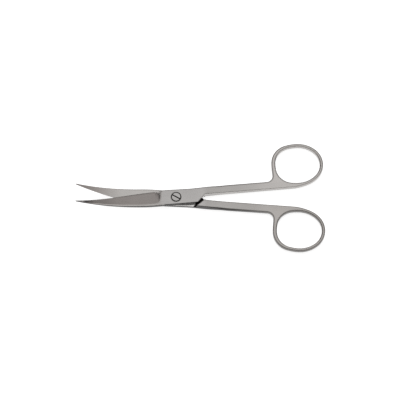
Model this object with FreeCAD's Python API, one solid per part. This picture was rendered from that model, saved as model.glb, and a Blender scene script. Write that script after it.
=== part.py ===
import FreeCAD, Part
import math
import os

# Dressing scissors, curved on the flat, 14.5 cm. Millimetres.
# Frame: X runs from the tips (negative) to the finger rings (positive), Z is up.
# The origin lies on the pivot axis, on the plane that the joint rests on.

# Joint
joint_thickness = 4.5
running_gap = 0.06
joint_edge_side = 4.5
joint_spine_side = 4.4
joint_corner_radius = 0.8
joint_rounding = 0.45
waist_distance = 9.0
waist_radius = 60.0

# Blade
blade_length = 58.4
blade_tip_rise = 9.9
blade_flat_length = 22.0
blade_tip_thickness = 0.85
blade_tip_width = 0.55
blade_tip_offset = 0.5
spine_corner_distance = 16.1
spine_corner_radius = 100.0
heel_offset = 5.0
edge_corner_distance = 22.3
edge_corner_radius = 195.0

# Ground facet of the blade
facet_start = 9.0
facet_full_start = 10.9
facet_wheel_radius = 2.2
spine_strip_width = 1.2
tip_strip_width = 0.15
edge_land = 0.42
edge_bevel_width = 0.3
edge_bevel_land = 0.08

# Shoulder behind the joint, where the shank takes its full thickness
shoulder_distance = 16.5
shoulder_clearance = 0.15
throat_radius = 1.6

# Shank
shank_inner_offset = 0.45
shank_outer_offset = 5.2
shank_straight_start = 30.0
shank_thickness = 3.6
shank_taper_start = 18.6
shank_taper_length = 9.0
shank_taper_radius = 20.0
shank_outer_rounding = 1.0
shank_inner_rounding = 0.45

# Finger ring
ring_distance = 72.9
ring_offset = 14.5
opening_front_length = 12.95
opening_back_length = 13.2
opening_half_width = 11.55
ring_front_width = 2.4
ring_back_width = 1.95
ring_side_width = 1.85
ring_thickness = 3.3
opening_front_radius = 31.9
opening_corner_radius = 10.0
opening_side_radius = 25.4
opening_back_radius = 10.5
ring_front_radius = 25.0
ring_corner_radius = 11.5
ring_side_radius = 29.5
ring_back_radius = 12.3
ring_outer_rounding = 1.0
ring_inner_bevel = 0.6
ring_flat_lead = 5.55
ring_blend_radius = 30.0
web_fillet = 3.8

# Pivot screw
screw_head_diameter = 5.8
screw_head_rise = 0.14
screw_head_bevel = 0.3
screw_shank_diameter = 3.0
countersink_depth = 1.6
screw_head_rim = 0.25
head_clearance = 0.06
shank_clearance = 0.05
slot_width = 0.7
slot_depth = 0.75
slot_turn = -30.0
screw_end_chamfer = 0.2

# Opening of the pair as it lies
rest_opening = 9.5

# Values that follow from the sizes above
half_thickness = joint_thickness / 2
inner_face = running_gap / 2
bend_run = blade_length - blade_flat_length
bend_radius = (bend_run ** 2 + blade_tip_rise ** 2) / (2 * blade_tip_rise)
stations = 8
ring_front_x = ring_distance - opening_front_length - ring_front_width


def vec(x, y, z=0.0):
    return FreeCAD.Vector(x, y, z)


def side(x, z):
    return FreeCAD.Vector(x, 0.0, z)


def line(a, b):
    return Part.LineSegment(a, b).toShape()


def spline(points, start, end):
    curve = Part.BSplineCurve()
    curve.interpolate(Points=points, InitialTangent=start, FinalTangent=end)
    return curve.toShape()


def round_corner(before, corner, after, radius):
    """Arc that rounds a corner, with the two points where it meets the straight sides."""
    back = (before - corner).normalize()
    ahead = (after - corner).normalize()
    half_turn = back.getAngle(ahead) / 2
    reach = radius / math.tan(half_turn)
    middle = (back + ahead).normalize()
    centre = corner + middle * (radius / math.sin(half_turn))
    first = corner + back * reach
    last = corner + ahead * reach
    return first, Part.Arc(first, centre - middle * radius, last).toShape(), last


def prism(edges, direction):
    face = Part.Face(Part.Wire(Part.__sortEdges__(edges)))
    return face.extrude(direction)


def bend_height(x):
    """Height that a blade's inner face has gained at x."""
    past = max(0.0, -x - blade_flat_length)
    return bend_radius - math.sqrt(bend_radius ** 2 - past ** 2)


def blade_thickness(x):
    """Thickness of a blade at its spine, full at the joint and thin at the tip."""
    root = half_thickness - inner_face
    along = max(0.0, (-x - facet_start) / (blade_length - facet_start))
    return root - (root - blade_tip_thickness) * along ** 1.5


def spine_line():
    """Ends of the straight back of the blade, from the tip to its corner at the joint."""
    tip = vec(-blade_length, -blade_tip_offset - blade_tip_width / 2)
    return tip, vec(-spine_corner_distance, -joint_spine_side)


def edge_line():
    """Ends of the straight cutting edge, from the tip to the corner of its curved stretch."""
    tip = vec(-blade_length, -blade_tip_offset + blade_tip_width / 2)
    return tip, vec(-edge_corner_distance, heel_offset)


def crossing_y(points, x):
    """Offset at x of the straight line through two points."""
    a, b = points
    return a.y + (b.y - a.y) * (x - a.x) / (b.x - a.x)


def edge_y(x):
    """Offset of the cutting edge at x, along its straight and its curved stretch."""
    tip, corner = edge_line()
    heel = vec(0, heel_offset)
    first, _, last = round_corner(tip, corner, heel, edge_corner_radius)
    if x <= first.x:
        return crossing_y(edge_line(), x)
    if x >= last.x:
        return heel_offset
    drop = edge_corner_radius - math.sqrt(edge_corner_radius ** 2 - (last.x - x) ** 2)
    return heel_offset - drop


def spine_y(x):
    """Offset of the back of the blade at x."""
    return max(-joint_spine_side, crossing_y(spine_line(), x))


def blade_outline():
    """Plan of the blade in front of the joint."""
    spine_tip, spine_corner = spine_line()
    edge_tip, edge_corner = edge_line()
    spine_root = vec(-facet_start, -joint_spine_side)
    edge_root = vec(-facet_start, heel_offset)
    s1, spine_arc, s2 = round_corner(spine_tip, spine_corner, spine_root, spine_corner_radius)
    e1 = round_corner(edge_tip, edge_corner, vec(0, heel_offset), edge_corner_radius)[0]
    e2_cut = vec(-facet_start, edge_y(-facet_start))
    middle = vec((e1.x + e2_cut.x) / 2, edge_y((e1.x + e2_cut.x) / 2))
    edge_curve = Part.Arc(e1, middle, e2_cut).toShape()
    return [
        line(spine_tip, s1), spine_arc, line(s2, spine_root),
        line(spine_root, e2_cut), edge_curve, line(e1, edge_tip),
        line(edge_tip, spine_tip),
    ]


def quarter_arc(centre, middle, radius, angles, way, up):
    """Arc between two angles in degrees, turned over into one quarter of an oval about centre."""
    points = []
    for angle in (angles[0], (angles[0] + angles[1]) / 2, angles[1]):
        reach = vec(math.cos(math.radians(angle)), math.sin(math.radians(angle))) * radius
        point = middle + reach
        points.append(centre + vec(way * point.x, up * point.y))
    return Part.Arc(*points).toShape()


def side_centre(length, width, end_radius):
    """Centre of the side arc that runs into an end arc, on the oval's short axis."""
    gap = length - end_radius
    radius = (gap ** 2 + width ** 2 - end_radius ** 2) / (2 * (width - end_radius))
    return vec(0, width - radius), radius


def back_quarter(centre, length, width, end_radius, up, last=90.0):
    """Two arcs from the back of the ring to its side, as far as the angle last."""
    middle = vec(length - end_radius, 0)
    low, side_radius = side_centre(length, width, end_radius)
    joined = math.degrees(math.atan2(-low.y, middle.x))
    return [
        quarter_arc(centre, middle, end_radius, (0, joined), 1, up),
        quarter_arc(centre, low, side_radius, (joined, last), 1, up),
    ]


def front_quarter(centre, length, width, radii, up):
    """Three arcs from the blunt front of the ring to its side."""
    end_radius, corner_radius, side_radius = radii
    end = vec(length - end_radius, 0)
    low = vec(0, width - side_radius)
    apart = end.distanceToPoint(low)
    from_end = end_radius - corner_radius
    from_low = side_radius - corner_radius
    along = (from_end ** 2 - from_low ** 2 + apart ** 2) / (2 * apart)
    across = math.sqrt(from_end ** 2 - along ** 2)
    way = (low - end).normalize()
    corner = end + way * along + vec(-way.y, way.x) * across
    first = math.degrees(math.atan2(corner.y - end.y, corner.x - end.x))
    second = math.degrees(math.atan2(corner.y - low.y, corner.x - low.x))
    return [
        quarter_arc(centre, end, end_radius, (0, first), -1, up),
        quarter_arc(centre, corner, corner_radius, (first, second), -1, up),
        quarter_arc(centre, low, side_radius, (second, 90), -1, up),
    ]


def handle_outline():
    """Plan of the joint, shank and finger ring, without the opening."""
    centre = vec(ring_distance, ring_offset)
    outer_back = opening_back_length + ring_back_width
    outer_front = opening_front_length + ring_front_width
    outer_half = opening_half_width + ring_side_width
    # Spine side of the joint, its slanted rear edge and the throat
    rear = shoulder_distance + shank_inner_offset - shoulder_clearance * math.sqrt(2)
    spine_root = vec(-facet_start, -joint_spine_side)
    rear_corner = vec(rear - joint_spine_side, -joint_spine_side)
    throat = vec(rear + shank_inner_offset, shank_inner_offset)
    c1, corner_arc, c2 = round_corner(spine_root, rear_corner, throat, joint_corner_radius)
    inner_end = vec(ring_front_x, shank_inner_offset)
    t1, throat_arc, t2 = round_corner(rear_corner, throat, inner_end, throat_radius)
    # Inner edge of the shank into the ring
    low, side_radius = side_centre(outer_back, outer_half, ring_back_radius)
    ring_side = centre - low
    blend_height = shank_inner_offset + ring_blend_radius - ring_side.y
    blend_run = math.sqrt((ring_blend_radius - side_radius) ** 2 - blend_height ** 2)
    blend_start = vec(ring_side.x - blend_run, shank_inner_offset)
    blend_centre = blend_start + vec(0, ring_blend_radius)
    ring_angle = math.degrees(math.atan2(blend_height, blend_run))
    blend_angles = (ring_angle, 90)
    inner_blend = quarter_arc(blend_centre, vec(0, 0), ring_blend_radius, blend_angles, 1, -1)
    ring = back_quarter(centre, outer_back, outer_half, ring_back_radius, -1, ring_angle)
    ring += back_quarter(centre, outer_back, outer_half, ring_back_radius, 1)
    ring_radii = (ring_front_radius, ring_corner_radius, ring_side_radius)
    ring += front_quarter(centre, outer_front, outer_half, ring_radii, 1)
    # Front of the ring, the fillet of the web and the outer edge of the shank
    front_point = vec(ring_front_x, ring_offset)
    web_corner = vec(ring_front_x, shank_outer_offset)
    shank_start = vec(shank_straight_start, shank_outer_offset)
    w1, web_arc, w2 = round_corner(front_point, web_corner, shank_start, web_fillet)
    heel = vec(-facet_start, edge_y(-facet_start))
    waist = vec(waist_distance, joint_edge_side)
    j1, shank_arc, j2 = round_corner(w2, shank_start, waist, waist_radius)
    j3, waist_arc, j4 = round_corner(shank_start, waist, heel, waist_radius)
    return [
        line(spine_root, c1), corner_arc, line(c2, t1), throat_arc, line(t2, blend_start),
        inner_blend, line(front_point, w1), web_arc, line(w2, j1), shank_arc,
        line(j2, j3), waist_arc, line(j4, heel), line(heel, spine_root),
    ] + ring


def opening():
    """Finger opening as a tall prism."""
    centre = vec(ring_distance, ring_offset, -joint_thickness)
    radii = (opening_front_radius, opening_corner_radius, opening_side_radius)
    edges = []
    for up in (-1, 1):
        edges += back_quarter(
            centre, opening_back_length, opening_half_width, opening_back_radius, up)
        edges += front_quarter(centre, opening_front_length, opening_half_width, radii, up)
    return prism(edges, vec(0, 0, 2 * joint_thickness))


def handle_profile():
    """Side view of the joint, shank and ring, as a slab across the whole width."""
    rear_x = ring_distance + opening_back_length + 2 * ring_back_width
    joint_front = side(-facet_start, half_thickness)
    joint_rear = side(shank_taper_start, half_thickness)
    shank_front = side(shank_taper_start + shank_taper_length, shank_thickness / 2)
    shank_rear = side(ring_front_x - ring_flat_lead, ring_thickness / 2)
    ring_rear = side(rear_x, ring_thickness / 2)
    down = side(0, -1)
    a1, first_bend, a2 = round_corner(joint_front, joint_rear, shank_front, shank_taper_radius)
    b1, second_bend, b2 = round_corner(joint_rear, shank_front, shank_rear, shank_taper_radius)
    top = [
        line(joint_front, a1), first_bend, line(a2, b1), second_bend, line(b2, shank_rear),
        line(shank_rear, ring_rear),
    ]
    bottom = [edge.mirror(vec(0, 0, 0), vec(0, 0, 1)) for edge in top]
    front = line(joint_front, joint_front + down * joint_thickness)
    rear = line(ring_rear, ring_rear + down * ring_thickness)
    slab = prism(top + bottom + [front, rear], vec(0, 4 * ring_offset))
    slab.translate(vec(0, -2 * ring_offset))
    return slab


def in_opening(point):
    """Whether a point lies nearer the finger opening than the middle of the ring's wire."""
    dx = point.x - ring_distance
    length = opening_back_length if dx > 0 else opening_front_length
    length_share = dx / (length + ring_side_width / 2)
    width_share = (point.y - ring_offset) / (opening_half_width + ring_side_width / 2)
    return length_share ** 2 + width_share ** 2 < 1


def rounding_at(point):
    """Rounding wanted where two edges of the handle's outer rim meet. It changes evenly in between."""
    if point.x > ring_front_x - web_fillet / 2 and point.y > shank_outer_offset / 2:
        return ring_outer_rounding
    if point.x > ring_distance:
        return ring_outer_rounding
    if point.y < joint_edge_side / 2:
        return shank_inner_rounding if point.x > shoulder_distance else joint_rounding
    taper_middle = shank_taper_start + shank_taper_length / 2
    return shank_outer_rounding if point.x > taper_middle else joint_rounding


def run_on(edges, point):
    """Take from a list of numbered edges those that run on from a point, with near and far ends."""
    found = []
    while True:
        touching = [item for item in edges if item[1].distToShape(Part.Vertex(point))[0] < 1e-4]
        if not touching:
            return found
        number, edge = touching[0]
        edges.remove(touching[0])
        near, far = edge.Vertexes[0].Point, edge.Vertexes[-1].Point
        if far.distanceToPoint(point) < near.distanceToPoint(point):
            near, far = far, near
        found.append((number, near, far))
        point = far


def rim_radii(rim):
    """Rounding at both ends of each edge of an outer rim, all in the direction of its first edge."""
    number, lead = rim[0]
    rest = rim[1:]
    tail = lead.valueAt(lead.FirstParameter)
    head = lead.valueAt(lead.LastParameter)
    radii = [(number, rounding_at(tail), rounding_at(head))]
    for number, near, far in run_on(rest, head):
        radii.append((number, rounding_at(near), rounding_at(far)))
    for number, near, far in run_on(rest, tail):
        radii.append((number, rounding_at(far), rounding_at(near)))
    return radii


def round_rims(solid):
    """Round the outer rims of the handle, with a rounding that changes along them."""
    document = FreeCAD.newDocument("rounding")
    base = document.addObject("Part::Feature", "blank")
    base.Shape = solid
    rims = {True: [], False: []}
    for number, edge in enumerate(base.Shape.Edges, 1):
        box = edge.BoundBox
        upright = box.ZLength > shank_thickness / 2
        across = box.XLength < 1e-6 and box.YMin < shank_outer_offset
        middle = edge.valueAt((edge.FirstParameter + edge.LastParameter) / 2)
        if not (upright or across or in_opening(middle)):
            rims[middle.z > 0].append((number, edge))
    rounded = document.addObject("Part::Fillet", "rounded")
    rounded.Base = base
    rounded.Edges = rim_radii(rims[True]) + rim_radii(rims[False])
    document.recompute()
    shape = rounded.Shape.copy()
    FreeCAD.closeDocument(document.Name)
    return shape


def bevel_opening(solid):
    """Ease both rims of the finger opening."""
    rims = []
    for edge in solid.Edges:
        middle = edge.valueAt((edge.FirstParameter + edge.LastParameter) / 2)
        if in_opening(middle) and edge.BoundBox.ZLength < 1e-6:
            rims.append(edge)
    return solid.makeChamfer(ring_inner_bevel, rims)


def handle_blank():
    """Joint, shank and ring at full thickness, with eased edges."""
    plan = prism(handle_outline(), vec(0, 0, 2 * joint_thickness))
    plan.translate(vec(0, 0, -joint_thickness))
    blank = plan.common(handle_profile()).cut(opening())
    return bevel_opening(round_rims(blank.Solids[0])).Solids[0]


def blade_blank(way):
    """Blade in front of the joint, bent outwards or inwards on the flat, before grinding."""
    plan = prism(blade_outline(), vec(0, 0, 2 * blade_length))
    plan.translate(vec(0, 0, -blade_length))
    outer = []
    for step in range(stations + 1):
        x = -facet_start - (blade_length - facet_start) * step / stations
        outer.append(side(x, inner_face + way * bend_height(x) + blade_thickness(x)))
    flat_end = side(-blade_flat_length, inner_face)
    bend_middle_x = -(blade_flat_length + blade_length) / 2
    bend_middle = side(bend_middle_x, inner_face + way * bend_height(bend_middle_x))
    inner_tip = side(-blade_length, inner_face + way * blade_tip_rise)
    inner_root = side(-facet_start, inner_face)
    tip_way = side(-1, way * bend_run / (bend_radius - blade_tip_rise)).normalize()
    profile = [
        spline(outer, side(-1, 0), tip_way),
        line(outer[-1], inner_tip),
        Part.Arc(inner_tip, bend_middle, flat_end).toShape(),
        line(flat_end, inner_root),
        line(inner_root, outer[0]),
    ]
    slab = prism(profile, vec(0, 4 * joint_edge_side))
    slab.translate(vec(0, -2 * joint_edge_side))
    return plan.common(slab).Solids[0]


def facet_section(x, way):
    """Corners of the ground facet and the cutting bevel at x, from the spine's strip to the edge."""
    share = (-x - facet_start) / (blade_length - facet_start)
    strip = spine_strip_width + (tip_strip_width - spine_strip_width) * min(1.0, share)
    inner = inner_face + way * bend_height(x)
    y_edge = edge_y(x)
    return [
        vec(x, spine_y(x) + strip, inner + blade_thickness(x)),
        vec(x, y_edge - edge_bevel_width, inner + edge_land),
        vec(x, y_edge, inner + edge_bevel_land),
    ]


def facet_cutter(way):
    """Wedge above the ground facet and the cutting bevel."""
    start = -facet_full_start
    end = -blade_length - edge_bevel_width
    wires = []
    for step in range(stations + 1):
        corners = facet_section(start + (end - start) * step / stations, way)
        strip, edge = corners[0], corners[-1]
        beside = edge + vec(0, joint_thickness)
        above = vec(strip.x, beside.y, strip.z + joint_thickness)
        corners += [beside, above, strip + vec(0, 0, joint_thickness)]
        wires.append(Part.makePolygon(corners + corners[:1]))
    return Part.makeLoft(wires, True, False)


def facet_runout(way):
    """Grinding wheel at the root of the facet, where it lifts out of the joint."""
    strip, land = facet_section(-facet_full_start, way)[:2]
    across = (land - strip).normalize()
    lift = vec(0, -across.z, across.y) * facet_wheel_radius
    length = 3 * joint_edge_side
    return Part.makeCylinder(facet_wheel_radius, length, strip + lift - across, across)


def shoulder_cutter():
    """Half of the joint's thickness in front of the slanted shoulder, where the other half lies."""
    reach = blade_length
    foot = shoulder_distance + shank_inner_offset
    corners = [
        vec(foot + reach, -reach, -joint_thickness),
        vec(foot - reach, reach, -joint_thickness),
        vec(-reach, reach, -joint_thickness),
        vec(-reach, -reach, -joint_thickness),
    ]
    edges = [line(a, b) for a, b in zip(corners, corners[1:] + corners[:1])]
    return prism(edges, vec(0, 0, joint_thickness + inner_face))


def scissor_half(way):
    """One forged half, lying closed, with its inner face downwards on the plane between the halves."""
    half = handle_blank().cut(shoulder_cutter())
    half = half.fuse(blade_blank(way)).removeSplitter()
    return half.cut(facet_cutter(way)).cut(facet_runout(way))


def turned(points):
    """Solid of revolution about Z from a closed outline of (radius, height) points."""
    corners = [side(radius, height) for radius, height in points]
    edges = [line(a, b) for a, b in zip(corners, corners[1:] + corners[:1])]
    face = Part.Face(Part.Wire(edges))
    return face.revolve(vec(0, 0, 0), vec(0, 0, 1), 360)


def screw_hole():
    """Countersunk running hole through the upper half, in the frame of the pair."""
    head = screw_head_diameter / 2 + head_clearance
    shank = screw_shank_diameter / 2 + shank_clearance
    rim = joint_thickness - screw_head_rim
    seat = joint_thickness - countersink_depth
    above = joint_thickness + screw_head_rise
    return turned([
        (0, half_thickness - running_gap), (shank, half_thickness - running_gap),
        (shank, seat), (head, rim), (head, above), (0, above)])


def pivot_screw():
    """Slotted countersunk screw, with a bevelled head and filed flush underneath."""
    head = screw_head_diameter / 2
    shank = screw_shank_diameter / 2
    rim = joint_thickness - screw_head_rim
    seat = joint_thickness - countersink_depth
    top = joint_thickness + screw_head_rise
    body = turned([
        (0, 0), (shank - screw_end_chamfer, 0), (shank, screw_end_chamfer), (shank, seat),
        (head, rim), (head, joint_thickness), (head - screw_head_bevel, top), (0, top)])
    slot = Part.makeBox(screw_head_diameter, slot_width, slot_depth + screw_head_rise)
    slot.translate(vec(-head, -slot_width / 2, joint_thickness - slot_depth))
    slot.rotate(vec(0, 0, 0), vec(0, 0, 1), slot_turn)
    return body.cut(slot)


def upper_half():
    half = scissor_half(1)
    half.translate(vec(0, 0, half_thickness))
    half = half.cut(screw_hole())
    half.rotate(vec(0, 0, 0), vec(0, 0, 1), rest_opening / 2)
    return half


def lower_half():
    half = scissor_half(-1)
    half.rotate(vec(0, 0, 0), vec(1, 0, 0), 180)
    half.translate(vec(0, 0, half_thickness))
    thread = Part.makeCylinder(screw_shank_diameter / 2, joint_thickness)
    half = half.cut(thread)
    half.rotate(vec(0, 0, 0), vec(0, 0, 1), -rest_opening / 2)
    return half


def write(name, shape):
    """Write one piece as a single solid."""
    shape.Solids[0].exportStep("parts/" + name + ".step")


def build():
    os.makedirs("parts", exist_ok=True)
    write("upper_half", upper_half())
    write("lower_half", lower_half())
    write("pivot_screw", pivot_screw())


if __name__ == "__main__":
    build()
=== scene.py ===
import math

import bpy
from mathutils import Matrix, Vector


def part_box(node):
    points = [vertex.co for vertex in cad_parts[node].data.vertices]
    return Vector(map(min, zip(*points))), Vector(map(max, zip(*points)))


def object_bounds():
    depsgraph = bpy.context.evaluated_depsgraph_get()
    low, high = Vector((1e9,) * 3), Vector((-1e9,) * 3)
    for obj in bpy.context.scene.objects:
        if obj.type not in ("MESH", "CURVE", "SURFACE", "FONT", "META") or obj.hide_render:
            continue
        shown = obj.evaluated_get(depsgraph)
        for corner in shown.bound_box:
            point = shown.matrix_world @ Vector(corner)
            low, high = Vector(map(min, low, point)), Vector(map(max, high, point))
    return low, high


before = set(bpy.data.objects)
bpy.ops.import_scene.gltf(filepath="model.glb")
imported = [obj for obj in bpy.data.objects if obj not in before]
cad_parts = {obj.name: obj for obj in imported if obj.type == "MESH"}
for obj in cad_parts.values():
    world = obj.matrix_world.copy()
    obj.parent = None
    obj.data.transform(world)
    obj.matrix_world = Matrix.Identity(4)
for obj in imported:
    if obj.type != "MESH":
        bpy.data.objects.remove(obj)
cad_low, cad_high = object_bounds()
screw_low, screw_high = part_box("pivot_screw")

# Where the photographer stood, and where the photograph has the pivot, in degrees, metres and pixels
CAMERA_TILT = 22.0
CAMERA_DISTANCE = 1.1
CAMERA_ROLL = 0.33
PHOTO_PIXELS = 400
METRES_PER_PIXEL = 0.000584
SENSOR_WIDTH = 36.0
PIVOT_PIXEL = (176.1, 196.7)

# Paper under the scissors: the white that the camera and the steel see in it is its own glow
FLOOR_SIZE = 3.0
PAPER = (0.42, 0.42, 0.42, 1.0)
PAPER_ROUGHNESS = 0.95
PAPER_SHINE = 0.1
PAPER_GLOW = 0.8
WHITE = (1.0, 1.0, 1.0, 1.0)

# Soft lamp above and behind, for the shadow on the paper
LAMP_PLACE = (0.05, 0.35, 0.8)
LAMP_SIZE = 0.35
LAMP_POWER = 4.0

# Light of the studio from the horizon at 0 to overhead at 1: the tent, and the dark card behind the scissors
TENT = (
    (0.0, (0.42, 0.41, 0.405, 1.0)),
    (0.35, (0.55, 0.535, 0.525, 1.0)),
    (0.8, (0.72, 0.705, 0.695, 1.0)),
    (1.0, (0.8, 0.8, 0.8, 1.0)),
)
CARD = (
    (0.0, (0.14, 0.133, 0.131, 1.0)),
    (0.3, (0.21, 0.199, 0.195, 1.0)),
    (0.5, (0.29, 0.275, 0.27, 1.0)),
    (0.66, (0.44, 0.415, 0.405, 1.0)),
    (0.8, (0.68, 0.665, 0.655, 1.0)),
    (1.0, (0.8, 0.8, 0.8, 1.0)),
)
CARD_START = 0.15
CARD_FULL = 0.55

# Sockets of the Mix node, which go by number: its share, its two colours and its two numbers
MIX_SHARE = 0
MIX_COLOURS = (6, 7)
MIX_COLOUR_OUT = 2
MIX_NUMBERS = (2, 3)
MIX_NUMBER_OUT = 0

# Turn of each half from the X axis as the pair lies, in degrees, and the way its inner face looks
REST_TURN = 4.75
INNER_FACE_DOWN = -1
INNER_FACE_UP = 1

# Steel of each surface, as the light it gives back
JOINT_STEEL = (0.6, 0.585, 0.575, 1.0)
# Painted reflection on the joint's inner face, where the other half rubs it smooth
RUBBED_SHEEN = (0.95, 0.935, 0.92, 1.0)
SHANK_STEEL = (0.53, 0.515, 0.5, 1.0)
# Painted light and shade: the same ring steel lighter on the upper ring and darker on the lower ring
UPPER_RING_LIT = (0.68, 0.655, 0.635, 1.0)
LOWER_RING_SHADED = (0.57, 0.545, 0.525, 1.0)
# Near-black painted shade on the flanks and rounded edges
FLANK_SHADE = (0.035, 0.033, 0.033, 1.0)
GROUND_STEEL = (0.66, 0.64, 0.62, 1.0)
# Painted shade on the inner face towards the tip
INNER_TIP_SHADE = (0.44, 0.41, 0.4, 1.0)
FACET_STEEL = (0.57, 0.545, 0.53, 1.0)
# Painted light on the outer face towards the tip, and painted shade at the point
TIP_LIGHT = (0.72, 0.69, 0.67, 1.0)
POINT_SHADE = (0.28, 0.265, 0.26, 1.0)
# Painted shade on the steep end of the grinding wheel's runout
RUNOUT_SHADE = (0.36, 0.345, 0.335, 1.0)
SCREW_STEEL = (0.62, 0.605, 0.595, 1.0)
# Near-black painted shade in crevices, on the shoulder's slanted wall, in the wedge at its foot and about
# the screw's head
SHADE_BLACK = (0.02, 0.018, 0.017, 1.0)
SHADE_ROUGHNESS = 0.6

# Places along a half in metres: the pivot is at 0, the blade before it and the ring behind it
POINT_START = -0.047
POINT_FULL = -0.0525
TIP_START = -0.022
TIP_FULL = -0.049
INNER_TIP_START = -0.031
RUNOUT_START = -0.0125
RUNOUT_END = -0.007
BLADE_START = -0.009
SHOULDER_START = 0.0105
SHOULDER_END = 0.0176
LIGHTER_WALL_START = 0.0125
JOINT_END = 0.0185
JOINT_BLEND = 0.003
RING_START = 0.03
RING_FULL = 0.055
SHORT_BLEND = 0.0008

# Painted shadow in the wedge at the foot of the shoulder, between two lines that cross the half aslant
SHOULDER_FOOT = 0.01695
WEDGE_START = 0.0159

# Height at which the two joint faces rub on each other
JOINT_PLANE = 0.00225
RUBBED_REACH = 0.0004
RUBBED_BLEND = 0.0001

# How far a face is turned where a finish or a painted shade starts and where it is full, as a share of its
# normal:
# on Z and Y towards the other half, or away from it below 0, and on X forwards below 0
INNER_FACE = (0.6, 0.8)
OUTER_FACE = (-0.6, -0.8)
OUTWARD_FACE = (-0.1, -0.3)
STEEP_FACE = (-0.95, -0.75)
LIGHTER_WALL_FACE = (0.2, 0.5)
FORWARD_FACE = (-0.3, -0.5)
SLANTED_FACE = (0.35, 0.45)
FLANK_FACE = (0.992, 0.75)

# Share of the flanks' painted shade that is left on the rings and on the lighter inner walls
RING_FLANK_SHADE = 0.7
LIGHTER_WALL_SHADE = 0.15
LIGHTER_RING_WALL_SHADE = 0.5

# Rounding of the edges, softer where the grinding wheel ran out and sharper at the tip
EDGE_RADIUS = 0.0009
RUNOUT_RADIUS = 0.0018
TIP_SHARPNESS = 0.3

# Painted shade about the screw's head: on the rim of the head and in the seam around it
SCREW_RADIUS = (screw_high.x - screw_low.x) / 2
HEAD_FACE_RADIUS = SCREW_RADIUS - 0.0005
SEAM_RADIUS = SCREW_RADIUS + 0.0001
SEAM_BLEND = 0.0001

# Polishing lines, and the spans of tone and roughness that they give
NOISE_SPAN = (0.3, 0.7)
GRAIN_DETAIL = 3.0
GRAIN_ROUGHNESS = 0.6
GRAIN_DEPTH = 0.00002
GRAIN_TONE = (0.95, 1.04)
POLISH_ROUGHNESS = (0.15, 0.22)
CLOUD_DETAIL = 2.0
EDGE_SAMPLES = 6
CREVICE_SAMPLES = 16

# Own values of the shared effects on the halves and on the screw
HALF_GRAIN = {"Line Length": 0.012, "Line Width": 0.00025, "Depth": 0.04}
HALF_TONE = {"Size": 0.018, "Darkest": 0.88}
HALF_EDGE = {"Spread": 0.4}
HALF_CREVICE = {"Reach": 0.0025, "Start": 0.48, "Full": 0.33}
HALF_WORN = 0.1
SCREW_GRAIN = {"Line Length": 0.002, "Line Width": 0.00015, "Depth": 0.05}
SCREW_TONE = {"Size": 0.004, "Darkest": 0.85}
SCREW_EDGE = {"Radius": 0.00015, "Spread": 0.25}
SCREW_CREVICE = {"Reach": 0.0015, "Start": 0.7, "Full": 0.5}
SCREW_WORN = 1.0


def camera_at_photo():
    """Camera at the photograph's angle, with the pivot where the photograph has it."""
    tilt = math.radians(CAMERA_TILT)
    back = Vector((0.0, -math.sin(tilt), math.cos(tilt)))
    right = Vector((1.0, 0.0, 0.0))
    up = back.cross(right)
    roll = math.radians(CAMERA_ROLL)
    rolled_right = right * math.cos(roll) - up * math.sin(roll)
    rolled_up = right * math.sin(roll) + up * math.cos(roll)
    across = (PHOTO_PIXELS / 2 - PIVOT_PIXEL[0]) * METRES_PER_PIXEL
    down = (PHOTO_PIXELS / 2 - PIVOT_PIXEL[1]) * METRES_PER_PIXEL
    pivot = Vector((0.0, 0.0, screw_high.z))
    target = pivot + rolled_right * across - rolled_up * down
    data = bpy.data.cameras.new("photo_camera")
    data.sensor_width = SENSOR_WIDTH
    data.lens = SENSOR_WIDTH * CAMERA_DISTANCE / (PHOTO_PIXELS * METRES_PER_PIXEL)
    camera = bpy.data.objects.new("photo_camera", data)
    bpy.context.scene.collection.objects.link(camera)
    turn = Matrix((rolled_right, rolled_up, back)).transposed().to_4x4()
    camera.matrix_world = Matrix.Translation(target + back * CAMERA_DISTANCE) @ turn
    bpy.context.scene.camera = camera


def shadow_lamp():
    """Soft lamp above the scissors that lights the paper and leaves the steel to the studio."""
    data = bpy.data.lights.new("soft_box", "AREA")
    data.shape = "SQUARE"
    data.size = LAMP_SIZE
    data.energy = LAMP_POWER
    lamp = bpy.data.objects.new("soft_box", data)
    bpy.context.scene.collection.objects.link(lamp)
    lamp.visible_glossy = False
    lamp.rotation_mode = "QUATERNION"
    lamp.rotation_quaternion = (-Vector(LAMP_PLACE)).to_track_quat("-Z", "Y")
    lamp.location = LAMP_PLACE


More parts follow.
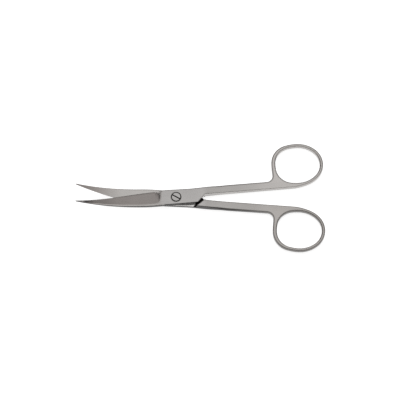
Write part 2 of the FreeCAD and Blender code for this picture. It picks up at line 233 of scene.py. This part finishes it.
class Bench:
    """A node tree under construction, with short ways to add and join its nodes."""

    def __init__(self, tree):
        self.tree = tree

    def node(self, kind, **settings):
        """New node with its settings."""
        node = self.tree.nodes.new(kind)
        for name, value in settings.items():
            setattr(node, name, value)
        return node

    def join(self, out, socket):
        """Link from an output to an input."""
        self.tree.links.new(out, socket)

    def give(self, given, socket):
        """Link to an input, or its plain value."""
        if isinstance(given, bpy.types.NodeSocket):
            self.join(given, socket)
        else:
            socket.default_value = given

    def reckon(self, operation, *numbers):
        """Result of a sum on numbers or outputs."""
        node = self.node("ShaderNodeMath", operation=operation)
        for number, socket in zip(numbers, node.inputs):
            self.give(number, socket)
        return node.outputs["Value"]

    def split(self, vector):
        """Node that parts a vector into its three numbers."""
        node = self.node("ShaderNodeSeparateXYZ")
        self.join(vector, node.inputs["Vector"])
        return node

    def span(self, value, low, high, start=0.0, end=1.0):
        """Value that runs from start to end while another runs from low to high."""
        node = self.node("ShaderNodeMapRange")
        node.inputs["From Min"].default_value = low
        node.inputs["From Max"].default_value = high
        node.inputs["To Min"].default_value = start
        node.inputs["To Max"].default_value = end
        self.join(value, node.inputs["Value"])
        return node.outputs["Result"]

    def mix(self, share, first, second, blend="MIX"):
        """Colour between two colours or outputs, by a share."""
        node = self.node("ShaderNodeMix", data_type="RGBA", blend_type=blend)
        self.give(share, node.inputs[MIX_SHARE])
        self.give(first, node.inputs[MIX_COLOURS[0]])
        self.give(second, node.inputs[MIX_COLOURS[1]])
        return node.outputs[MIX_COLOUR_OUT]

    def blend(self, share, first, second):
        """Number between two numbers or outputs, by a share."""
        node = self.node("ShaderNodeMix", data_type="FLOAT")
        self.give(share, node.inputs[MIX_SHARE])
        self.give(first, node.inputs[MIX_NUMBERS[0]])
        self.give(second, node.inputs[MIX_NUMBERS[1]])
        return node.outputs[MIX_NUMBER_OUT]

    def product(self, first, second):
        """Mask where both masks are."""
        return self.reckon("MULTIPLY", first, second)

    def either(self, first, second):
        """Mask where one mask or the other is."""
        return self.reckon("MAXIMUM", first, second)


def sky_ramp(world, height, stops):
    """Colour of the light by its height, from pairs of place and colour."""
    ramp = world.node("ShaderNodeValToRGB")
    elements = ramp.color_ramp.elements
    elements[0].position, elements[0].color = stops[0]
    elements[1].position, elements[1].color = stops[-1]
    for position, colour in stops[1:-1]:
        elements.new(position).color = colour
    world.join(height, ramp.inputs["Fac"])
    return ramp.outputs["Color"]


def studio():
    """White surroundings for the camera, and a light tent with a dark card behind for the steel."""
    surroundings = bpy.data.worlds.new("studio")
    surroundings.use_nodes = True
    bpy.context.scene.world = surroundings
    world = Bench(surroundings.node_tree)
    place = world.node("ShaderNodeTexCoord")
    split = world.split(place.outputs["Generated"])
    behind = world.node("ShaderNodeMapRange", interpolation_type="SMOOTHSTEP")
    behind.inputs["From Min"].default_value = CARD_START
    behind.inputs["From Max"].default_value = CARD_FULL
    world.join(split.outputs["Y"], behind.inputs["Value"])
    tent = sky_ramp(world, split.outputs["Z"], TENT)
    card = sky_ramp(world, split.outputs["Z"], CARD)
    sky = world.tree.nodes["Background"]
    world.join(world.mix(behind.outputs["Result"], tent, card), sky.inputs["Color"])
    white = world.node("ShaderNodeBackground")
    white.inputs["Color"].default_value = WHITE
    path = world.node("ShaderNodeLightPath")
    seen = world.node("ShaderNodeMixShader")
    world.join(path.outputs["Is Camera Ray"], seen.inputs["Fac"])
    world.join(sky.outputs["Background"], seen.inputs[1])
    world.join(white.outputs["Background"], seen.inputs[2])
    world.join(seen.outputs["Shader"], world.tree.nodes["World Output"].inputs["Surface"])


def floor():
    """Plain white paper under the lowest point of the scissors."""
    bpy.ops.object.select_all(action="DESELECT")
    bpy.ops.mesh.primitive_plane_add(size=FLOOR_SIZE, location=(0.0, 0.0, cad_low.z))
    plane = bpy.context.object
    plane.name = "paper"
    material = bpy.data.materials.new("paper")
    material.use_nodes = True
    paper = Bench(material.node_tree)
    shader = paper.tree.nodes["Principled BSDF"]
    shader.inputs["Base Color"].default_value = PAPER
    shader.inputs["Roughness"].default_value = PAPER_ROUGHNESS
    shader.inputs["Specular IOR Level"].default_value = PAPER_SHINE
    shader.inputs["Emission Color"].default_value = WHITE
    path = paper.node("ShaderNodeLightPath")
    seen = paper.either(path.outputs["Is Camera Ray"], path.outputs["Is Glossy Ray"])
    seen = paper.either(seen, path.outputs["Is Transmission Ray"])
    paper.join(paper.product(seen, PAPER_GLOW), shader.inputs["Emission Strength"])
    plane.data.materials.append(material)


class Group(Bench):
    """A shared effect under construction, as a node group."""

    def __init__(self, name, inputs, outputs):
        super().__init__(bpy.data.node_groups.new(name, "ShaderNodeTree"))
        for label, kind, value in inputs:
            socket = self.tree.interface.new_socket(label, in_out="INPUT", socket_type=kind)
            if value is not None:
                socket.default_value = value
        for label, kind in outputs:
            self.tree.interface.new_socket(label, in_out="OUTPUT", socket_type=kind)
        self.given = self.tree.nodes.new("NodeGroupInput").outputs
        self.result = self.tree.nodes.new("NodeGroupOutput").inputs


def grain_group():
    """Fine lines left by polishing, along the X axis of the given coordinates."""
    group = Group(
        "polishing_grain",
        [("Vector", "NodeSocketVector", None), ("Normal", "NodeSocketVector", None),
         ("Line Length", "NodeSocketFloat", 0.01),
         ("Line Width", "NodeSocketFloat", 0.0002), ("Depth", "NodeSocketFloat", 0.1)],
        [("Lines", "NodeSocketFloat"), ("Normal", "NodeSocketVector")])
    split = group.split(group.given["Vector"])
    stretched = group.node("ShaderNodeCombineXYZ")
    for axis, size in (("X", "Line Length"), ("Y", "Line Width"), ("Z", "Line Width")):
        scaled = group.reckon("DIVIDE", split.outputs[axis], group.given[size])
        group.join(scaled, stretched.inputs[axis])
    lines = group.node("ShaderNodeTexNoise")
    lines.inputs["Scale"].default_value = 1.0
    lines.inputs["Detail"].default_value = GRAIN_DETAIL
    lines.inputs["Roughness"].default_value = GRAIN_ROUGHNESS
    group.join(stretched.outputs["Vector"], lines.inputs["Vector"])
    bump = group.node("ShaderNodeBump")
    bump.inputs["Distance"].default_value = GRAIN_DEPTH
    group.join(group.given["Depth"], bump.inputs["Strength"])
    group.join(lines.outputs["Fac"], bump.inputs["Height"])
    group.join(group.given["Normal"], bump.inputs["Normal"])
    group.join(lines.outputs["Fac"], group.result["Lines"])
    group.join(bump.outputs["Normal"], group.result["Normal"])
    return group.tree


def cloud_group():
    """Slow change of tone over the metal, from handling and uneven polishing."""
    group = Group(
        "uneven_tone",
        [("Vector", "NodeSocketVector", None), ("Size", "NodeSocketFloat", 0.02),
         ("Darkest", "NodeSocketFloat", 0.9)],
        [("Tone", "NodeSocketFloat")])
    scaled = group.node("ShaderNodeVectorMath", operation="DIVIDE")
    group.join(group.given["Vector"], scaled.inputs[0])
    group.join(group.given["Size"], scaled.inputs[1])
    cloud = group.node("ShaderNodeTexNoise")
    cloud.inputs["Scale"].default_value = 1.0
    cloud.inputs["Detail"].default_value = CLOUD_DETAIL
    group.join(scaled.outputs["Vector"], cloud.inputs["Vector"])
    share = group.span(cloud.outputs["Fac"], *NOISE_SPAN)
    group.join(group.blend(share, group.given["Darkest"], 1.0), group.result["Tone"])
    return group.tree


def edge_group():
    """Softened normal of the edges, and a mask of those that handling keeps bright."""
    group = Group(
        "edge_wear",
        [("Radius", "NodeSocketFloat", 0.0003), ("Spread", "NodeSocketFloat", 0.15)],
        [("Mask", "NodeSocketFloat"), ("Normal", "NodeSocketVector")])
    bevel = group.node("ShaderNodeBevel", samples=EDGE_SAMPLES)
    place = group.node("ShaderNodeNewGeometry")
    turn = group.node("ShaderNodeVectorMath", operation="DOT_PRODUCT")
    group.join(group.given["Radius"], bevel.inputs["Radius"])
    group.join(bevel.outputs["Normal"], turn.inputs[0])
    group.join(place.outputs["Normal"], turn.inputs[1])
    mask = group.node("ShaderNodeMapRange")
    mask.inputs["From Min"].default_value = 1.0
    group.join(group.reckon("SUBTRACT", 1.0, group.given["Spread"]), mask.inputs["From Max"])
    group.join(turn.outputs["Value"], mask.inputs["Value"])
    group.join(mask.outputs["Result"], group.result["Mask"])
    group.join(bevel.outputs["Normal"], group.result["Normal"])
    return group.tree


def crevice_group():
    """Mask of the narrow gaps, where shade is painted."""
    group = Group(
        "crevice",
        [("Reach", "NodeSocketFloat", 0.001), ("Start", "NodeSocketFloat", 0.45),
         ("Full", "NodeSocketFloat", 0.15)],
        [("Mask", "NodeSocketFloat")])
    near = group.node("ShaderNodeAmbientOcclusion", samples=CREVICE_SAMPLES)
    mask = group.node("ShaderNodeMapRange")
    group.join(group.given["Reach"], near.inputs["Distance"])
    group.join(near.outputs["AO"], mask.inputs["Value"])
    group.join(group.given["Start"], mask.inputs["From Min"])
    group.join(group.given["Full"], mask.inputs["From Max"])
    group.join(mask.outputs["Result"], group.result["Mask"])
    return group.tree


class Steel(Bench):
    """A steel material under construction, on object coordinates turned along its piece."""

    def __init__(self, name, turn):
        self.material = bpy.data.materials.new(name)
        self.material.use_nodes = True
        super().__init__(self.material.node_tree)
        self.shader = self.tree.nodes["Principled BSDF"]
        self.shader.inputs["Metallic"].default_value = 1.0
        self.coordinates = self.node("ShaderNodeTexCoord")
        mapping = self.node("ShaderNodeMapping", vector_type="POINT")
        mapping.inputs["Rotation"].default_value = (0.0, 0.0, math.radians(turn))
        self.join(self.coordinates.outputs["Object"], mapping.inputs["Vector"])
        self.vector = mapping.outputs["Vector"]
        self.place = self.split(self.vector)

    def group(self, tree, values, vector=None):
        """A shared effect with this material's own values."""
        node = self.node("ShaderNodeGroup", node_tree=tree)
        if vector is not None:
            self.join(vector, node.inputs["Vector"])
        for label, value in values.items():
            node.inputs[label].default_value = value
        return node

    def line(self, direction):
        """Distance of a place along a direction."""
        node = self.node("ShaderNodeVectorMath", operation="DOT_PRODUCT")
        node.inputs[1].default_value = direction
        self.join(self.vector, node.inputs[0])
        return node.outputs["Value"]

    def seam(self, inner, outer):
        """Mask of a ring about the pivot axis between two radii."""
        flat = self.node("ShaderNodeCombineXYZ")
        self.join(self.place.outputs["X"], flat.inputs["X"])
        self.join(self.place.outputs["Y"], flat.inputs["Y"])
        reach = self.node("ShaderNodeVectorMath", operation="LENGTH")
        self.join(flat.outputs["Vector"], reach.inputs[0])
        beyond = self.span(reach.outputs["Value"], inner, inner + SEAM_BLEND)
        within = self.span(reach.outputs["Value"], outer, outer - SEAM_BLEND)
        return self.product(beyond, within)

    def finish(self, colour, tone, lines, dark, edge, worn):
        """Join tone, grain, worn edges and the painted shade into the colour and roughness."""
        toned = self.mix(1.0, colour, tone.outputs["Tone"], "MULTIPLY")
        grain = self.span(lines.outputs["Lines"], *NOISE_SPAN, *GRAIN_TONE)
        grained = self.mix(1.0, toned, grain, "MULTIPLY")
        bright = self.product(edge.outputs["Mask"], worn)
        polished = self.mix(bright, grained, GROUND_STEEL)
        self.join(self.mix(dark, polished, SHADE_BLACK), self.shader.inputs["Base Color"])
        self.join(edge.outputs["Normal"], lines.inputs["Normal"])
        self.join(lines.outputs["Normal"], self.shader.inputs["Normal"])
        rough = self.span(lines.outputs["Lines"], *NOISE_SPAN, *POLISH_ROUGHNESS)
        self.join(self.blend(dark, rough, SHADE_ROUGHNESS), self.shader.inputs["Roughness"])


class HalfSteel(Steel):
    """Steel of a half, with masks by place along it and by the way a face is turned."""

    def __init__(self, name, inner_side):
        super().__init__(name, REST_TURN * inner_side)
        self.inner_side = inner_side
        self.normal = self.split(self.coordinates.outputs["Normal"])
        self.facing = self.turned("Z", INNER_FACE)
        self.tip = self.along(TIP_START, TIP_FULL)
        self.ring = self.along(RING_START, RING_FULL)
        wheel = self.between(RUNOUT_START, RUNOUT_END)
        self.runout = self.product(self.turned("Z", OUTWARD_FACE), wheel)
        # Inner walls behind the joint get less painted shade, as they mirror the bright paper between the
        # shanks
        behind = self.along(LIGHTER_WALL_START, LIGHTER_WALL_START + SHORT_BLEND)
        self.lighter_wall = self.product(self.turned("Y", LIGHTER_WALL_FACE), behind)

    def along(self, low, high):
        """Mask that rises from one place along the half to another."""
        return self.span(self.place.outputs["X"], low, high)

    def between(self, start, end):
        """Mask of a stretch along the half."""
        return self.product(self.along(start, start + SHORT_BLEND), self.along(end, end - SHORT_BLEND))

    def turned(self, axis, face):
        """Mask of the faces that are turned towards the other half, or away from it."""
        start, full = face
        return self.span(self.normal.outputs[axis], start * self.inner_side, full * self.inner_side)

    def softness(self):
        """Radius of the edges' rounding."""
        radius = self.blend(self.runout, EDGE_RADIUS, RUNOUT_RADIUS)
        return self.product(radius, self.blend(self.tip, 1.0, TIP_SHARPNESS))

    def flank_shade(self, edge):
        """Mask of the flanks and rounded edges, painted dark as the shade they mirror from the paper beside
        the scissors.
        """
        own = self.node("ShaderNodeVectorTransform", vector_type="NORMAL")
        own.convert_from = "WORLD"
        own.convert_to = "OBJECT"
        self.join(edge.outputs["Normal"], own.inputs["Vector"])
        height = self.split(own.outputs["Vector"]).outputs["Z"]
        upright = self.span(self.reckon("ABSOLUTE", height), *FLANK_FACE)
        dull = self.product(self.blend(self.ring, 1.0, RING_FLANK_SHADE), self.blend(self.runout, 1.0, 0.0))
        left = self.blend(self.ring, LIGHTER_WALL_SHADE, LIGHTER_RING_WALL_SHADE)
        dull = self.product(dull, self.blend(self.lighter_wall, 1.0, left))
        return self.product(dull, upright)

    def shoulder(self):
        """Mask of the slanted wall of the shoulder, painted dark as the shade in the gap between the two
        halves.
        """
        slant = self.product(self.normal.outputs["X"], self.normal.outputs["Y"])
        slanted = self.span(self.reckon("ABSOLUTE", slant), *SLANTED_FACE)
        forward = self.span(self.normal.outputs["X"], *FORWARD_FACE)
        return self.product(self.product(slanted, forward), self.between(SHOULDER_START, SHOULDER_END))

    def wedge(self):
        """Mask of the painted shadow on the wedge at the shoulder's foot, which the other half leaves
        uncovered.
        """
        opened = math.tan(math.radians(2 * REST_TURN))
        foot = self.line((1.0, -self.inner_side, 0.0))
        rim = self.line((1.0 + opened, -self.inner_side * (1.0 - opened), 0.0))
        before = self.span(foot, SHOULDER_FOOT + SEAM_BLEND, SHOULDER_FOOT)
        behind = self.span(rim, WEDGE_START - SEAM_BLEND, WEDGE_START)
        return self.product(self.facing, self.product(behind, before))

    def rubbed_sheen(self):
        """Mask of the joint's inner face, which the other half rubs smooth, painted bright as a reflection.
        """
        height = self.place.outputs["Z"]
        low = JOINT_PLANE - RUBBED_REACH
        high = JOINT_PLANE + RUBBED_REACH
        above = self.span(height, low, low + RUBBED_BLEND)
        below = self.span(height, high, high - RUBBED_BLEND)
        behind = self.along(BLADE_START - SHORT_BLEND, BLADE_START + SHORT_BLEND)
        return self.product(self.facing, self.product(behind, self.product(above, below)))

    def colour(self, ring_steel, edge):
        """Colour of the half from its ring to its point, outside and inside."""
        joint = self.along(JOINT_END, JOINT_END - JOINT_BLEND)
        blade = self.along(BLADE_START + SHORT_BLEND, BLADE_START - SHORT_BLEND)
        point = self.along(POINT_START, POINT_FULL)
        inner_tip = self.along(INNER_TIP_START, TIP_FULL)
        outer = self.product(blade, self.turned("Z", OUTER_FACE))
        # Painted shade on the steep end of the wheel's runout
        steep = self.product(self.runout, self.turned("Z", STEEP_FACE))
        colour = self.mix(joint, SHANK_STEEL, JOINT_STEEL)
        colour = self.mix(self.ring, colour, ring_steel)
        colour = self.mix(self.flank_shade(edge), colour, FLANK_SHADE)
        # Outer face painted lighter towards the tip and dark at the point, inner face painted darker towards
        # the tip, for the light on the bent blade
        facet = self.mix(self.tip, FACET_STEEL, TIP_LIGHT)
        colour = self.mix(outer, colour, self.mix(point, facet, POINT_SHADE))
        colour = self.mix(steep, colour, RUNOUT_SHADE)
        ground = self.mix(inner_tip, GROUND_STEEL, INNER_TIP_SHADE)
        colour = self.mix(self.product(blade, self.facing), colour, ground)
        return self.mix(self.rubbed_sheen(), colour, RUBBED_SHEEN)

    def painted_shade(self, gap):
        """Mask of all the painted shade: in crevices, on the shoulder's slanted wall, in the wedge at its
        foot and in the seam about the screw.
        """
        dark = self.product(gap.outputs["Mask"], self.blend(self.lighter_wall, 1.0, 0.0))
        dark = self.either(dark, self.shoulder())
        dark = self.either(dark, self.wedge())
        return self.either(dark, self.seam(SCREW_RADIUS, SEAM_RADIUS))


def half_steel(name, inner_side, ring_steel, groups):
    """Satin steel of a half, with a ground facet outside its blade and a bright ground inner face."""
    grain, cloud, wear, crevice = groups
    steel = HalfSteel(name, inner_side)
    lines = steel.group(grain, HALF_GRAIN, steel.vector)
    tone = steel.group(cloud, HALF_TONE, steel.vector)
    gap = steel.group(crevice, HALF_CREVICE)
    edge = steel.group(wear, HALF_EDGE)
    steel.join(steel.softness(), edge.inputs["Radius"])
    steel.finish(steel.colour(ring_steel, edge), tone, lines, steel.painted_shade(gap), edge, HALF_WORN)
    return steel.material


def screw_steel(groups):
    """Turned steel of the screw."""
    grain, cloud, wear, crevice = groups
    steel = Steel("turned_steel", 0.0)
    lines = steel.group(grain, SCREW_GRAIN, steel.vector)
    tone = steel.group(cloud, SCREW_TONE, steel.vector)
    gap = steel.group(crevice, SCREW_CREVICE)
    edge = steel.group(wear, SCREW_EDGE)
    # Painted shade in the screw's slot and on the rim of its head
    dark = steel.either(gap.outputs["Mask"], steel.seam(HEAD_FACE_RADIUS, SEAM_RADIUS))
    steel.finish(SCREW_STEEL, tone, lines, dark, edge, SCREW_WORN)
    return steel.material


def dress():
    """Give the three pieces their steel."""
    groups = (grain_group(), cloud_group(), edge_group(), crevice_group())
    upper = half_steel("upper_steel", INNER_FACE_DOWN, UPPER_RING_LIT, groups)
    lower = half_steel("lower_steel", INNER_FACE_UP, LOWER_RING_SHADED, groups)
    steels = {
        "upper_half": (upper, "forged_steel"),
        "lower_half": (lower, "forged_steel"),
        "pivot_screw": (screw_steel(groups), "screw_steel"),
    }
    for name, (material, slot) in steels.items():
        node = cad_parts[name]
        node.data.materials.clear()
        node.data.materials.append(material)


camera_at_photo()
studio()
shadow_lamp()
floor()
dress()
bpy.context.scene.view_settings.view_transform = "Standard"
